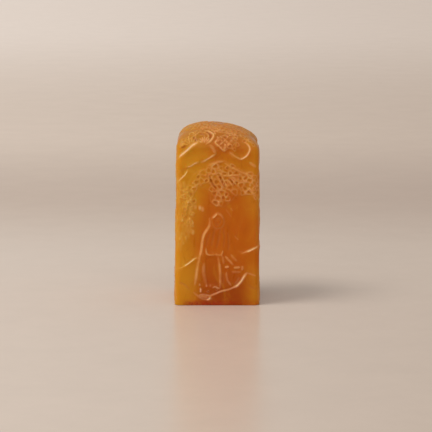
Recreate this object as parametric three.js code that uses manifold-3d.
// A hand seal carved from one block of amber soapstone. The block stands on its engraved printing face,
// its four sides taper a little towards an off-centre domed top, and a shallow landscape relief wraps the
// sides and the dome: cliffs and clouds, pine foliage, and a robed wanderer on a rock ledge.
// Units are millimetres. +Z is up, the front looks towards -Y, and the origin is the middle of the
// printing face.
import * as THREE from "three";
import { TessellateModifier } from "three/addons/modifiers/TessellateModifier.js";
import { mergeVertices } from "three/addons/utils/BufferGeometryUtils.js";
import Module from "manifold-3d";

const wasm = await Module();
wasm.setup();

// Block: the printing face, the height of the apex and where the apex stands
const FACE_WIDTH = 25;
const FACE_DEPTH = 25;
const HEIGHT = 52.7;
const APEX_X = -2.5;
const APEX_Y = 0.8;

// How far each side leans in over the whole height
const LEAN = { front: 0.4, right: 0.3, back: 0.4, left: 0.9 };

// How far the dome rises from the shoulder to the apex, seen from each side
const DOME_RISE = { front: 6.4, right: 8.1, back: 7.0, left: 5.6 };

// Corners: their radius down the walls, and how soon the sections turn round over the dome
const CORNER = 1.7;
const ROUNDING_OFF = 2;
const FOOT_CHAMFER = 0.3;

// Printing face: a raised rim and cross, and a square spiral left standing in each quarter
const RIM = 1.5;
const CROSS = 1.1;
const PRINT_LINE = 0.95;
const PRINT_GROOVE = 1.35;
const PRINT_DEPTH = 0.9;
const PRINT_DRAFT = 0.18;

// Relief: heights above the ground of the stone, and how deep each form is rooted in it
const LOW = 0.14;
const MIDDLE = 0.22;
const HIGH = 0.32;
const ROOT = 0.35;
const SLOPE = 0.2;

// A scarp is an edge with the ground fading away behind it: the width of its edge, and the fade
const SCARP_EDGE = 0.5;
const SCARP_FADE = 3.4;

// Where relief holds back so that the stone's outline stays clean: the share of its height that is left at
// a corner, and the plain edge above the printing face
const CORNER_KEEP = 0.4;
const PLAIN_FOOT = 0.9;

// Carved lines are ridges: raised contours, folds that are cut in, and pine needles
const CONTOUR = 0.24;
const FOLD = 0.18;
const NEEDLE = 0.17;
const NEEDLE_REACH = 3.4;
const NEEDLES = 4;
const WHEEL_POINTS = 6;

// Foliage: a raised pad with a hollow cell for each leaf
const PAD = 0.2;
const LEAF_PITCH = 1.58;
const LEAF_ROW = 1.37;
const LEAF_MARGIN = 0.8;
const CELL = 0.6;
const CELL_DEPTH = 0.32;
const CELL_SIDES = 5;
const CLUMP = 2.3;
const CLUMP_LEAVES = 6;

// Faceting
const FLAT_STEPS = 4;
const DOME_STEPS = 8;
const OUTLINE_STEPS = 2;
const WALL_PANEL = 8;
const BENT_PANEL = 4;

const FACES = ["front", "right", "back", "left"];
const halfSpan = { front: FACE_WIDTH / 2, right: FACE_DEPTH / 2, back: FACE_WIDTH / 2, left: FACE_DEPTH / 2 };
const { cos, sin, tan, abs, hypot, PI } = Math;
const mix = (a, b, t) => a + (b - a) * t;
const clamp = THREE.MathUtils.clamp;

// The stone's surface. Round the stone runs u: the front is -1 to 1, the right side 1 to 3, the back
// 3 to 5 and the left side 5 to 7. Up the stone runs z, which goes on as a length over the dome.
function squarePoint(u) {
  const turn = ((((u + 1) % 8) + 8) % 8) - 1;
  const side = Math.floor((turn + 1) / 2);
  const along = turn - 2 * side;
  return [
    [along, -1],
    [1, along],
    [-along, 1],
    [-1, -along],
  ][side];
}

// A section is a square with rounded corners, and at a rounding of 1 it is a circle
const WALL_ROUNDING = CORNER / (Math.min(FACE_WIDTH, FACE_DEPTH) / 2);
function sectionPoint(u, rounding) {
  const [x, y] = squarePoint(u);
  const flat = 1 - rounding;
  const middle = new THREE.Vector2(clamp(x, -flat, flat), clamp(y, -flat, flat));
  const corner = new THREE.Vector2(x, y).sub(middle).setLength(rounding);
  return middle.add(corner);
}

function riseAt(u) {
  const [x, y] = squarePoint(u);
  const across = (x * x) / (x * x + y * y);
  const sideRise = x < 0 ? DOME_RISE.left : DOME_RISE.right;
  const faceRise = y < 0 ? DOME_RISE.front : DOME_RISE.back;
  return mix(faceRise, sideRise, across);
}

function wallPoint(u, z, rounding = WALL_ROUNDING) {
  const { x, y } = sectionPoint(u, rounding);
  const halfX = FACE_WIDTH / 2 - (x < 0 ? LEAN.left : LEAN.right) * (z / HEIGHT);
  const halfY = FACE_DEPTH / 2 - (y < 0 ? LEAN.front : LEAN.back) * (z / HEIGHT);
  return new THREE.Vector3(x * halfX, y * halfY, z);
}

// The dome is a quarter ellipse from the shoulder to the apex, and phi is its angle
function domePoint(u, phi) {
  const rise = riseAt(u);
  const rim = wallPoint(u, HEIGHT - rise, mix(1, WALL_ROUNDING, cos(phi) ** ROUNDING_OFF));
  const x = mix(APEX_X, rim.x, cos(phi));
  const y = mix(APEX_Y, rim.y, cos(phi));
  return new THREE.Vector3(x, y, HEIGHT - rise + rise * sin(phi));
}

// The dome's angle where a length has been climbed over it from the shoulder
function domeAngle(u, length) {
  const rise = riseAt(u);
  const rim = wallPoint(u, HEIGHT - rise);
  const run = hypot(rim.x - APEX_X, rim.y - APEX_Y);
  const steps = 12;
  let phi = 0;
  for (let i = 0; i < steps; i += 1) phi += length / steps / hypot(rise * cos(phi), run * sin(phi));
  return Math.min(phi, PI / 2 - 0.02);
}

function surfacePoint(u, z) {
  const shoulder = HEIGHT - riseAt(u);
  return z <= shoulder ? wallPoint(u, z) : domePoint(u, domeAngle(u, z - shoulder));
}

// Tangents and outward normal at a place on the surface
function surfaceFrame(u, z) {
  const step = 0.01;
  const point = surfacePoint(u, z);
  const around = surfacePoint(u + step, z).sub(surfacePoint(u - step, z)).normalize();
  const up = surfacePoint(u, z + step).sub(surfacePoint(u, z - step)).normalize();
  const normal = new THREE.Vector3().crossVectors(around, up).normalize();
  up.crossVectors(normal, around);
  return { point, around, up, normal };
}

const turnOf = (face, x) => 2 * FACES.indexOf(face) + x / halfSpan[face];

// The share of its height that a form keeps at a place, less near a corner of the walls than on a side
function keptAt(u, z) {
  const toCorner = (1 - abs(u - 2 * Math.round(u / 2))) * Math.min(halfSpan.front, halfSpan.right);
  const onWall = z < HEIGHT - riseAt(u) + CORNER;
  return onWall ? mix(CORNER_KEEP, 1, THREE.MathUtils.smoothstep(toCorner, 0, CORNER)) : 1;
}

// Where a drawing's point lies on the stone: x runs along the face, z up it, and off stands off the surface
function placed(face, x, z, off) {
  const u = turnOf(face, x);
  const up = Math.max(z, PLAIN_FOOT);
  const { point, normal } = surfaceFrame(u, up);
  return point.addScaledVector(normal, off > 0 ? off * keptAt(u, up) : off);
}

// Lays a flat drawing on the stone. Facets larger than a panel are split first, so that a form can follow
// the stone over a corner and the dome.
function wrap(flat, face, panel) {
  const geometry = new TessellateModifier(panel, 8).modify(flat);
  const place = geometry.getAttribute("position");
  for (let i = 0; i < place.count; i += 1) {
    const point = placed(face, place.getX(i), place.getY(i), place.getZ(i));
    place.setXYZ(i, point.x, point.y, point.z);
  }
  return geometry;
}

// Stands a small form on the stone as it is, without bending it
function stand(geometry, u, z, spin = 0) {
  const { point, around, up, normal } = surfaceFrame(u, z);
  const frame = new THREE.Matrix4().makeBasis(around, up, normal).setPosition(point);
  return geometry.clone().rotateZ(spin).applyMatrix4(frame);
}

function solid(geometry) {
  const bare = geometry.index ? geometry.toNonIndexed() : geometry.clone();
  bare.deleteAttribute("normal");
  bare.deleteAttribute("uv");
  const merged = mergeVertices(bare, 1e-4);
  const vertProperties = merged.getAttribute("position").array;
  const triVerts = new Uint32Array(merged.index.array);
  return new wasm.Manifold(new wasm.Mesh({ numProp: 3, vertProperties, triVerts }));
}

// The bare block, lofted ring by ring from the printing face to the apex
function block() {
  const flatEnd = 1 - WALL_ROUNDING;
  const flats = Array.from({ length: FLAT_STEPS + 1 }, (_, i) => flatEnd * ((2 * i) / FLAT_STEPS - 1));
  const bend = flatEnd + WALL_ROUNDING * tan(PI / 8);
  const around = [0, 1, 2, 3].flatMap((side) => [-1, -bend, ...flats, bend].map((along) => 2 * side + along));
  const foot = around.map((u) => {
    const edge = wallPoint(u, 0);
    return edge.multiplyScalar(1 - FOOT_CHAMFER / edge.length());
  });
  const rings = [foot, around.map((u) => wallPoint(u, FOOT_CHAMFER))];
  for (let i = 0; i < DOME_STEPS; i += 1) {
    rings.push(around.map((u) => domePoint(u, (PI / 2) * (i / DOME_STEPS))));
  }
  const corners = [...rings.flat(), new THREE.Vector3(0, 0, 0), new THREE.Vector3(APEX_X, APEX_Y, HEIGHT)];
  const middle = corners.length - 2;
  const apex = corners.length - 1;
  const count = around.length;
  const last = (rings.length - 1) * count;
  const faces = [];
  for (let i = 0; i < count; i += 1) {
    const next = (i + 1) % count;
    faces.push(middle, next, i);
    faces.push(last + i, last + next, apex);
    for (let row = 0; row < last; row += count) {
      faces.push(row + i, row + next, row + count + next);
      faces.push(row + i, row + count + next, row + count + i);
    }
  }
  return new THREE.BufferGeometry().setFromPoints(corners).setIndex(faces);
}

// One square spiral of the printing face, as the outline of the groove that is cut, in the quarter x, y > 0
// of a face of this width and depth
function spiralGroove(width, depth) {
  const pitch = PRINT_LINE + PRINT_GROOVE;
  const low = CROSS / 2 + PRINT_GROOVE / 2;
  const highX = width / 2 - RIM - PRINT_GROOVE / 2;
  const highY = depth / 2 - RIM - PRINT_GROOVE / 2;
  const path = [new THREE.Vector2(low, low)];
  for (let inset = 0; highX - low > 2 * inset && highY - low > 2 * inset; inset += pitch) {
    path.push(new THREE.Vector2(highX - inset, low + inset));
    path.push(new THREE.Vector2(highX - inset, highY - inset));
    path.push(new THREE.Vector2(low + inset, highY - inset));
    path.push(new THREE.Vector2(low + inset, low + inset + pitch));
  }
  const turns = path.filter((p, i) => i === 0 || p.distanceTo(path[i - 1]) > PRINT_GROOVE);
  const half = PRINT_GROOVE / 2;
  const edge = (way) =>
    turns.map((p, i) => {
      const before = turns[Math.max(i - 1, 0)];
      const after = turns[Math.min(i + 1, turns.length - 1)];
      const into = new THREE.Vector2().subVectors(i > 0 ? p : after, i > 0 ? before : p).normalize();
      const end = i === turns.length - 1;
      const out = new THREE.Vector2().subVectors(end ? p : after, end ? before : p).normalize();
      const last = i === 0 || end;
      const side = new THREE.Vector2(-into.y, into.x).multiplyScalar(way * half);
      const other = new THREE.Vector2(-out.y, out.x).multiplyScalar(way * half);
      const corner = p.clone().add(side);
      return last ? corner.add(out.multiplyScalar(i === 0 ? -half : half)) : corner.add(other);
    });
  return new THREE.Shape([...edge(1), ...edge(-1).reverse()]);
}

function printingFace() {
  const quarter = (i) => {
    const outline = i % 2 === 0 ? spiralGroove(FACE_WIDTH, FACE_DEPTH) : spiralGroove(FACE_DEPTH, FACE_WIDTH);
    const cutter = new THREE.ExtrudeGeometry(outline, {
      depth: PRINT_DEPTH,
      bevelThickness: PRINT_DRAFT,
      bevelSize: PRINT_DRAFT,
      bevelOffset: -PRINT_DRAFT,
      bevelSegments: 1,
    });
    return solid(cutter.translate(0, 0, -PRINT_DRAFT).rotateZ((i * PI) / 2));
  };
  return [0, 1, 2, 3].map(quarter);
}

// An outline moved in by the given width, or out where it is below 0, at a height
function moved(points, inset, height) {
  const count = points.length;
  return points.map((point, i) => {
    const along = new THREE.Vector2().subVectors(points[(i + 1) % count], points[(i + count - 1) % count]);
    along.setLength(inset);
    return new THREE.Vector3(point.x - along.y, point.y + along.x, height);
  });
}

// The solid between an outline at one level and the same outline, wider or narrower, at a higher one
function between(face, lower, upper, panel) {
  const count = lower.length;
  const faces = [];
  for (const [a, b, c] of THREE.ShapeUtils.triangulateShape(upper, [])) {
    faces.push(c, b, a, count + a, count + b, count + c);
  }
  for (let i = 0; i < count; i += 1) {
    const next = (i + 1) % count;
    faces.push(i, next, count + next, i, count + next, count + i);
  }
  const flatForm = new THREE.BufferGeometry().setFromPoints([...lower, ...upper]).setIndex(faces);
  return solid(wrap(flatForm, face, panel));
}

const turned = (outline) => (THREE.ShapeUtils.isClockWise(outline) ? [...outline].reverse() : outline);

// A raised form: its sides slope from an outline below the ground in to a smaller one at its height
function raise(face, height, outline, panel = WALL_PANEL) {
  const points = turned(outline);
  return between(face, moved(points, -SLOPE, -ROOT), moved(points, SLOPE, height), panel);
}

const flat = (points) => points.map(([x, z]) => new THREE.Vector2(x, z));
const curve = (points, height = 0, closed = false) =>
  new THREE.CatmullRomCurve3(points.map(([x, z]) => new THREE.Vector3(x, z, height)), closed, "centripetal");

// A rounded outline through its points
function rounded(points) {
  const outline = curve(points, 0, true).getPoints(points.length * OUTLINE_STEPS).slice(0, -1);
  return outline.map(({ x, y }) => new THREE.Vector2(x, y));
}

const form = (face, height, points, panel) => raise(face, height, rounded(points), panel);
const crag = (face, height, points, panel) => raise(face, height, flat(points), panel);

// The cutter for a form that is sunk to a depth, with sides that slope out as they come up
function basin(face, depth, points, slope) {
  const outline = turned(rounded(points));
  return between(face, moved(outline, slope, -depth), moved(outline, -slope, 2 * ROOT), BENT_PANEL);
}

// A scarp along a path: on its left the stone stands up by the height and fades away to the ground. It is
// joined from wedges, one between each two sections.
function scarp(face, height, points, fade = SCARP_FADE) {
  const spine = new THREE.SplineCurve(flat(points));
  const steps = (points.length - 1) * OUTLINE_STEPS;
  const sections = Array.from({ length: steps + 1 }, (_, i) => {
    const at = spine.getPointAt(i / steps);
    const way = spine.getTangentAt(i / steps);
    const share = Math.min(1, (3 * Math.min(i, steps - i)) / steps);
    const crest = mix(-ROOT / 2, height, share);
    const out = fade * share * ((crest + ROOT) / height) + SCARP_EDGE;
    const rail = (left, level) => placed(face, at.x - way.y * left, at.y + way.x * left, level);
    return [rail(-SCARP_EDGE, -ROOT), rail(SCARP_EDGE / 2, crest), rail(out, -ROOT)];
  });
  const wedges = sections.slice(1).map((section, i) => {
    const corners = [...sections[i], ...section].map(({ x, y, z }) => [x, y, z]);
    return wasm.Manifold.hull(corners);
  });
  return wasm.Manifold.union(wedges);
}

// A raised band along a spine, with its width given along the way
function band(face, height, points, widthAt, steps, panel = WALL_PANEL) {
  const spine = new THREE.SplineCurve(flat(points));
  const edge = (way) =>
    Array.from({ length: steps + 1 }, (_, i) => {
      const along = spine.getTangentAt(i / steps).multiplyScalar((way * widthAt(i / steps)) / 2);
      return spine.getPointAt(i / steps).add(new THREE.Vector2(-along.y, along.x));
    });
  return raise(face, height, [...edge(-1), ...edge(1).reverse()], panel);
}

// A limb of the pine tapers from one width to another
function limb(face, height, points, thick, thin) {
  return band(face, height, points, (share) => mix(thick, thin, share), (points.length - 1) * OUTLINE_STEPS);
}

// A carved line: a ridge along a curve, from the given height
function line(face, points, radius = CONTOUR, height = 0) {
  const section = new THREE.Shape(new THREE.EllipseCurve(0, 0, radius, radius).getPoints(4).slice(0, -1));
  const steps = points.length === 2 ? 1 : (points.length - 1) * OUTLINE_STEPS;
  const bar = { extrudePath: curve(points, height), steps, bevelEnabled: false };
  return solid(wrap(new THREE.ExtrudeGeometry(section, bar), face, WALL_PANEL));
}

// A leaf's cell is a cone that is cut in
const cellProfile = [new THREE.Vector2(0, PAD - CELL_DEPTH), new THREE.Vector2(2 * CELL, PAD + CELL_DEPTH)];
const cellTop = new THREE.Vector2(0, PAD + CELL_DEPTH);
const cellShape = new THREE.LatheGeometry([...cellProfile, cellTop], CELL_SIDES);
cellShape.rotateX(PI / 2);
const cell = (u, z, spin) => solid(stand(cellShape, u, z, spin));

// Foliage: a raised pad along a spine, and rows of cells that are each set over by half a pitch
function foliage(face, rows, points, panel) {
  const spine = new THREE.SplineCurve(flat(points));
  const count = Math.round(spine.getLength() / LEAF_PITCH);
  const width = (rows - 1) * LEAF_ROW + 2 * LEAF_MARGIN;
  const cells = [];
  for (let row = 0; row < rows; row += 1) {
    const shift = row % 2;
    const drop = (row - (rows - 1) / 2) * LEAF_ROW;
    for (let i = 0; i < count - shift; i += 1) {
      const at = spine.getPointAt((i + 0.5 * (1 + shift)) / count);
      const way = spine.getTangentAt((i + 0.5 * (1 + shift)) / count);
      cells.push(cell(turnOf(face, at.x + way.y * drop), at.y - way.x * drop, way.angle() + PI / 6));
    }
  }
  const widthAt = (share) => width * (1 - 0.3 * abs(2 * share - 1) ** 4);
  return { pad: band(face, PAD, points, widthAt, Math.ceil(count / 2), panel), cells };
}

// The outline of a star with this many points, from an inner share of its radius out to its radius
function starAt(x, z, radius, count, inner) {
  return Array.from({ length: 2 * count }, (_, i) => {
    const angle = (PI * i) / count;
    const reach = i % 2 === 0 ? radius : inner * radius;
    return new THREE.Vector2(x + reach * cos(angle), z + reach * sin(angle));
  });
}

// A clump on the dome, at a height above the shoulder: a rosette of leaves with a cell in its middle
function clump(u, climb) {
  const z = HEIGHT - riseAt(u) + climb;
  const step = 0.01;
  const reach = surfacePoint(u + step, z).distanceTo(surfacePoint(u - step, z)) / (2 * step);
  const onDome = ({ x, y }, height) => {
    const { point, normal } = surfaceFrame(u + x / reach, z + y);
    return point.addScaledVector(normal, height);
  };
  const low = starAt(0, 0, CLUMP + SLOPE, CLUMP_LEAVES, 0.8).map((corner) => onDome(corner, -ROOT));
  const high = starAt(0, 0, CLUMP - SLOPE, CLUMP_LEAVES, 0.8).map((corner) => onDome(corner, PAD));
  const count = low.length;
  const middle = 2 * count;
  const faces = [];
  for (let i = 0; i < count; i += 1) {
    const next = (i + 1) % count;
    faces.push(middle, count + i, count + next);
    faces.push(i, next, count + next, i, count + next, count + i);
    if (i > 0 && next > 0) faces.push(0, next, i);
  }
  const corners = [...low, ...high, onDome({ x: 0, y: 0 }, PAD)];
  const pad = new THREE.BufferGeometry().setFromPoints(corners).setIndex(faces);
  return { pad: solid(pad), cells: [cell(u, z, 0)] };
}

// Pine needles as a fan of lines from one point, between two angles in degrees
function needles(face, x, z, from, to) {
  return Array.from({ length: NEEDLES }, (_, i) => {
    const angle = (mix(from, to, i / (NEEDLES - 1)) * PI) / 180;
    const along = (reach) => [x + reach * cos(angle), z + reach * sin(angle)];
    return line(face, [along(NEEDLE_REACH / 3), along(NEEDLE_REACH)], NEEDLE);
  });
}

// A wheel of pine needles, as a low star
const wheel = (face, x, z, radius) => raise(face, MIDDLE, starAt(x, z, radius, WHEEL_POINTS, 0.55));

// A cloud's curl: a ridge that winds in to a point while its radius falls to a fifth
function curl(face, x, z, radius, start, turn) {
  const steps = 5;
  const points = Array.from({ length: steps + 1 }, (_, i) => {
    const angle = ((start + (turn * i) / steps) * PI) / 180;
    const reach = radius * mix(1, 0.2, i / steps);
    return [x + reach * cos(angle), z + reach * sin(angle)];
  });
  return line(face, points, CONTOUR);
}

// Rows of ripples, each a ridge that waves between two places
function ripple(face, z, from, to) {
  const last = Math.round((to - from) / 2.6);
  const points = Array.from({ length: last + 1 }, (_, i) => [mix(from, to, i / last), z + 0.3 * (-1) ** i]);
  return line(face, points, FOLD);
}

const gathered = (...pieces) => ({
  raised: pieces.flatMap(({ pad }) => pad),
  cut: pieces.flatMap(({ cells }) => cells),
});

// Cliffs at the top left, which run round the corner on to the left side, with a fan of needles above
function cliffs() {
  const slab = [
    [-16.5, 40.6], [-14, 42.6], [-11.8, 44.1], [-9.2, 45.9], [-6.6, 47.7], [-4.6, 48.4], [-2.4, 47.6],
    [-1, 45.8], [-0.4, 44.9], [-2.3, 43.7], [-4.9, 42.7], [-8.3, 41.3], [-12, 39.6], [-15, 38.8],
  ];
  const brow = [[-5.2, 48.4], [-6.6, 47.7], [-9.2, 45.9], [-11.8, 44.1], [-12.8, 43.4]];
  const shelf = [[-9.1, 40.4], [-9.8, 39], [-10.9, 37.8], [-12, 37.2], [-14.2, 36.2]];
  const arc = [[-3.1, 48.2], [-1.8, 49.4], [-0.8, 50.6], [-0.9, 52], [-2.2, 52.9], [-4.2, 53.4]];
  const raised = [
    crag("front", LOW, slab, BENT_PANEL),
    scarp("front", HIGH, brow),
    scarp("front", MIDDLE, shelf),
    line("front", [[-0.5, 45], [-2.3, 43.8], [-4.9, 42.6], [-8.6, 41.2]], CONTOUR, LOW),
    line("front", arc),
    ...needles("front", -3.7, 47.8, 30, 168),
    ...needles("front", -8.2, 47.4, 62, 168),
  ];
  return { raised, cut: [] };
}

// A cloud that is scooped out of the right shoulder, with a standing rim
function scoopedCloud() {
  const rim = [[8.9, 49.2], [10.1, 47], [9.8, 45.5], [8.1, 43.7], [6.9, 43.3], [5.2, 43.8], [3.2, 44.9]];
  const hollow = [[5.6, 45.2], [7, 44.4], [8.6, 44.8], [9.3, 46.2], [9.1, 47.8], [7.6, 48.2], [6.2, 47]];
  return { raised: [scarp("front", MIDDLE, rim)], cut: [basin("front", LOW, hollow, 3 * SLOPE)] };
}

// Scaly bark in the middle of the front's brow: a pad with rows of rhombs cut in
function bark() {
  const pad = [
    [-0.7, 48.1], [1, 50], [2.8, 51.1], [4.9, 51.7], [6.6, 51], [6.8, 49.6], [5.6, 48], [4, 46.9],
    [2.1, 45.7], [0.8, 46.8],
  ];
  const steps = [0, 1, 2];
  const rows = steps.flatMap((row) => steps.map((i) => [0.9 + 0.9 * row + 1.3 * i, 48.2 - 0.9 * row + i]));
  const cut = rows.map(([x, z]) => cell(turnOf("front", x), z, PI / 4));
  return { raised: [form("front", LOW, pad, BENT_PANEL)], cut };
}

// The wanderer, from the hood down to the shoes
function wanderer() {
  const body = [
    [-2.25, 24.1], [-3.9, 21.2], [-4.6, 17.3], [-5.4, 13.5], [-6.2, 8.6], [-6.9, 4.3], [-3, 4.9], [1.6, 4.8],
    [4, 5.7], [6.3, 7.2], [7.5, 9.4], [6.4, 13.2], [5.3, 16], [4.5, 18.8], [3.8, 21.4], [2.2, 25],
  ];
  const cloak = [[-2.3, 26.1], ...body.slice(0, 5), [-6.8, 4.6]];
  const hood = [
    [-1.7, 25.7], [-1.1, 26.6], [0.05, 27.5], [1.1, 27], [1.9, 25.9], [2, 24.4], [1.2, 23.2], [-0.3, 23],
    [-1.3, 24],
  ];
  const face = [[-0.5, 25.7], [0.25, 26], [0.9, 25.6], [1, 24.9], [0.4, 24], [-0.3, 24.3]];
  const panel = [
    [-3.2, 14.4], [-1.4, 14.6], [0, 14.5], [0.6, 9], [0.5, 6.2], [-1.2, 6.4], [-2.8, 6.6], [-3.3, 9.6],
  ];
  const raised = [
    form("front", LOW, body),
    scarp("front", HIGH, cloak),
    form("front", HIGH, hood),
    line("front", [[-3.3, 17.2], [-3, 15.4], [-0.6, 15.1], [1, 15], [1.75, 16.4]], CONTOUR, LOW),
    line("front", [[-3.8, 12.8], [-4, 10.4], [-3.15, 6.2]], CONTOUR, LOW),
    line("front", [[0.3, 14.8], [0.95, 9], [0.8, 5.2]], CONTOUR, LOW),
    line("front", [[2.75, 10], [3.2, 7.4], [3.9, 6.1]], CONTOUR, LOW),
    line("front", [[2.4, 11.3], [4.4, 11.5], [6.6, 11.35]], CONTOUR, LOW),
    form("front", MIDDLE, [[-3.4, 5.6], [-2.4, 6.3], [-1.6, 5.8], [-2.2, 5.2]]),
  ];
  const folds = [
    [[-0.7, 23], [-1.1, 20.6], [-1.7, 17.8]],
    [[0.9, 22.8], [0.6, 20], [-0.2, 17]],
    [[2, 23], [2.2, 20], [1.9, 17.4]],
    [[1.8, 14.6], [1.9, 13.6], [2.2, 12.3]],
    [[3, 14.7], [3.7, 13.5], [4.8, 12.3]],
    [[4.1, 15.1], [5, 14], [6.3, 12.9]],
  ];
  const lines = folds.map((fold) => line("front", fold, FOLD, LOW));
  return { raised, cut: [...lines, basin("front", 0, panel, SLOPE), basin("front", -MIDDLE, face, SLOPE)] };
}

// The ledge that the wanderer stands on, its rock, and the banks that run on behind round both corners
function ground() {
  const ledge = [
    [8.9, 9.8], [7.1, 7.3], [4.6, 5.3], [1.1, 4.25], [-1.9, 2.9], [-3.1, 1.8], [-5.8, 3], [-7.1, 4],
  ];
  const rock = [[-5.2, 3], [-4.5, 2.2], [-3.2, 1.8], [-2.3, 2], [-1.9, 2.8], [-4.2, 3.3]];
  const leftBank = [[-4.9, 13.9], [-7.2, 13.6], [-10.2, 11.5], [-12.6, 10.7], [-15.4, 9.4]];
  const rightBank = [[17.5, 16.8], [14.6, 17.6], [11.8, 17.4], [9.9, 16.4], [6.6, 15.4]];
  const raised = [
    scarp("front", MIDDLE, ledge, 2.4),
    form("front", MIDDLE, rock),
    scarp("front", MIDDLE, leftBank),
    scarp("front", MIDDLE, rightBank),
  ];
  return { raised, cut: [] };
}

// Foliage across the front, with leaves that hang down its left edge, and where it runs round the corners
function canopy() {
  const bed = [
    [-2.8, 41.1], [0.6, 42.4], [4.6, 41.5], [9, 39.3], [12.4, 36.8], [12.6, 32.4], [9.4, 33.1], [6.2, 33.8],
    [5.8, 30.6], [2, 30.3], [-1.8, 31], [-3.2, 33.2], [-5.6, 33.6], [-9, 35.2], [-6.4, 38.4], [-3.6, 39.6],
  ];
  return gathered(
    { pad: crag("front", LOW, bed, BENT_PANEL), cells: [] },
    foliage("front", 2, [[-2.4, 39.8], [1, 40.8], [5.4, 39.5], [9, 37.7], [12.6, 35.2]], BENT_PANEL),
    foliage("front", 2, [[-1.8, 36], [1.6, 36.4], [5.6, 35.6]]),
    foliage("front", 2, [[-1.6, 32.3], [1.4, 32.2], [4.4, 31.8]]),
    foliage("front", 2, [[-7.7, 36.2], [-5.2, 37.7], [-3, 38.2]]),
    foliage("front", 1, [[-7.2, 34.6], [-8.1, 32.8], [-8.6, 30.6]]),
    foliage("front", 1, [[7.4, 34.9], [9.6, 34.6], [12, 32.8]]),
    foliage("front", 1, [[-10.6, 33], [-10.6, 29], [-10.4, 25]]),
    foliage("front", 1, [[-7, 29.8], [-5.4, 29.2], [-3.8, 29.3]]),
    foliage("right", 1, [[-11, 38], [-9, 42], [-5.4, 44.6]], BENT_PANEL),
    foliage("back", 2, [[-9.6, 46.4], [-5.4, 47.4], [-0.8, 48]], BENT_PANEL),
  );
}

// Foliage over the dome: clumps round its edge and up to the apex
function crown() {
  const places = [
    [0.7, 5.8], [1.9, 4.4], [2.9, 3.6], [3.8, 4.4], [5, 3.8], [6.1, 4.4], [0, 9.8], [1.7, 9.6], [3.4, 9],
    [5, 9.4], [6.9, 9],
  ];
  return gathered(...places.map(([u, climb]) => clump(u, climb)));
}

// On the left side an old pine leans out from rocks, with wheels of needles on its boughs
function pine() {
  const trunk = [
    [-3.6, 1.4], [-2.6, 6], [-0.4, 11.6], [0.9, 16.6], [0.2, 21.4], [1.4, 26], [3.6, 30.6], [3.4, 35.4],
  ];
  const boughs = [
    [[1, 25], [-2.2, 28.4], [-5.8, 29.6], [-9, 32.2]],
    [[0.6, 18.4], [4, 21.4], [7.4, 22], [10.2, 24.4]],
    [[3.4, 33], [0.2, 36.4], [-3.6, 37.4], [-6.8, 39.6]],
    [[3.4, 35], [6.2, 38], [7.4, 41.4]],
  ];
  const wheels = [
    [-9.4, 33, 1.9], [-6.2, 31.6, 1.7], [9.6, 25.2, 1.9], [6.6, 23.6, 1.6], [-7.4, 40.6, 1.9],
    [-4, 39.2, 1.7], [7, 42.4, 1.9], [3.6, 41.6, 1.7],
  ];
  const rocks = [
    [[-12, 1.4], [-11.8, 5.6], [-9.6, 9.2], [-7, 8.2], [-5.4, 4.6], [-4.6, 1.6], [-8, 1.1]],
    [[-0.4, 1.4], [1, 4.6], [4, 6.6], [6.4, 5.2], [7.2, 1.6], [3.4, 1.1]],
    [[6.6, 1.4], [8, 4], [10.6, 4.8], [12, 3], [12.2, 1.4]],
  ];
  const raised = [
    limb("left", HIGH, trunk, 3.4, 1.5),
    ...boughs.map((bough) => limb("left", MIDDLE, bough, 1.4, 0.6)),
    ...wheels.map(([x, z, radius]) => wheel("left", x, z, radius)),
    ...rocks.map((rock) => crag("left", LOW, rock)),
    scarp("left", LOW, [[11.8, 13.6], [8.8, 14.8], [5.4, 13.6], [2.6, 11.8]]),
    scarp("left", LOW, [[-4, 12.4], [-7, 14.6], [-10, 15.2], [-12.6, 14.2]]),
  ];
  return { raised, cut: [] };
}

// On the right side water falls between cliffs in steps, with ripples at its foot
function fallingWater() {
  const steps = [
    [[12.4, 41.6], [9, 43.6], [5.4, 45.4], [2, 43.4], [-1.6, 42.6], [-4.4, 45.4]],
    [[0.2, 33.6], [-0.6, 36], [-2.6, 36.4], [-6.2, 33.8], [-9.4, 30.6]],
    [[11.8, 35.6], [10.4, 36.4], [7.4, 39.2], [4, 38], [3.2, 34.4]],
    [[-1, 23.4], [-1.6, 26.8], [-4, 28.4], [-7, 26.6], [-9.8, 21.8]],
    [[12, 27.2], [11, 27.6], [8, 30.6], [4.8, 29.4], [2.6, 24.4]],
  ];
  const rocks = [
    [[-12, 1.4], [-11.4, 4.6], [-8.6, 6], [-5.6, 4.4], [-3.6, 1.4], [-8, 1]],
    [[5, 1.4], [6.4, 4.2], [9.4, 5.2], [12, 3.6], [12.2, 1.2], [8, 1]],
  ];
  const falls = [0.4, 2.2];
  const raised = [
    ...steps.map((step) => scarp("right", HIGH, step)),
    ...falls.map((x) => line("right", [[x + 0.4, 35], [x, 30], [x + 0.4, 25], [x - 0.4, 14]], FOLD)),
    ripple("right", 12.6, -5, 7),
    ripple("right", 10.4, -8, 9),
    ...rocks.map((rock) => crag("right", LOW, rock)),
  ];
  return { raised, cut: [] };
}

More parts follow.
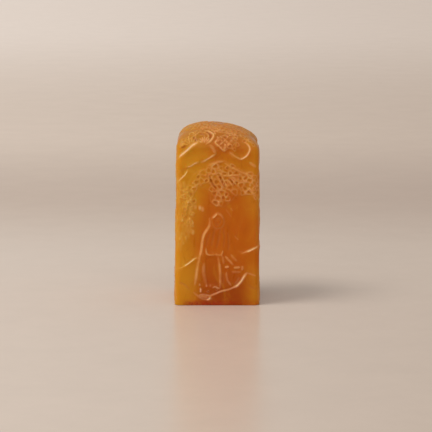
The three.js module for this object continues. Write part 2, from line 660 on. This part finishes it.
// The back holds far hills over banks of cloud, a hut, and plain polished stone below
function farHills() {
  const hills = [
    [[5, 33.6], [2, 36.4], [-0.4, 38.8], [-2.6, 36.6], [-5.4, 39.8], [-7.6, 41.4], [-10, 37.4], [-12, 34.6]],
    [[12, 34.2], [11, 35], [8.8, 38.4], [6.6, 40], [4, 35.8], [0.6, 33], [-3, 30.4]],
    [[0.6, 25.4], [-3, 27.6], [-6.4, 30.2], [-9.4, 29], [-12, 26.4]],
  ];
  const roof = flat([[2.2, 29.2], [4.2, 30.4], [5.4, 31.6], [6.6, 30.4], [8.6, 29.2], [5.4, 28.8]]);
  const posts = [3.4, 7.4];
  const raised = [
    ...hills.map((hill) => scarp("back", HIGH, hill)),
    raise("back", MIDDLE, roof),
    ...posts.map((x) => line("back", [[x, 28.8], [x, 26.4]], FOLD)),
    line("back", [[2.4, 26.4], [8.4, 26.4]], FOLD),
    curl("back", -8.4, 21.8, 2.2, 160, -330),
    curl("back", -3.6, 22.4, 1.8, 180, -300),
    curl("back", 6.2, 22.4, 2.1, 20, 320),
    line("back", [[-11, 19.8], [-6, 19.6], [1.6, 19.9]], CONTOUR),
    line("back", [[4, 19.4], [11.4, 19.4]], CONTOUR),
    scarp("back", MIDDLE, [[12, 7.2], [8.4, 8.4], [3, 6.6], [-2, 4.4], [-8, 3.8], [-12, 2.8]]),
  ];
  return { raised, cut: [] };
}

// Everything that is carved on one stone
function carvedStone() {
  const drawings = [cliffs(), scoopedCloud(), bark(), canopy(), wanderer(), ground(), crown()];
  const sides = [pine(), fallingWater(), farHills()];
  const all = [...drawings, ...sides];
  const whole = wasm.Manifold.union([solid(block()), ...all.flatMap(({ raised }) => raised)]);
  return whole.subtract(wasm.Manifold.union([...all.flatMap(({ cut }) => cut), ...printingFace()]));
}

function meshOf(name, made, material) {
  const { numProp, vertProperties, triVerts } = made.getMesh();
  const places = new THREE.InterleavedBuffer(vertProperties, numProp);
  const geometry = new THREE.BufferGeometry();
  geometry.setAttribute("position", new THREE.InterleavedBufferAttribute(places, 3, 0));
  geometry.setIndex(new THREE.BufferAttribute(triVerts, 1));
  const mesh = new THREE.Mesh(geometry, material);
  mesh.name = name;
  return mesh;
}

const soapstone = new THREE.MeshStandardMaterial({ color: 0xb8660f, roughness: 0.32, metalness: 0 });
const seal = new THREE.Group();
seal.add(meshOf("carved_stone", carvedStone(), soapstone));
export default seal;
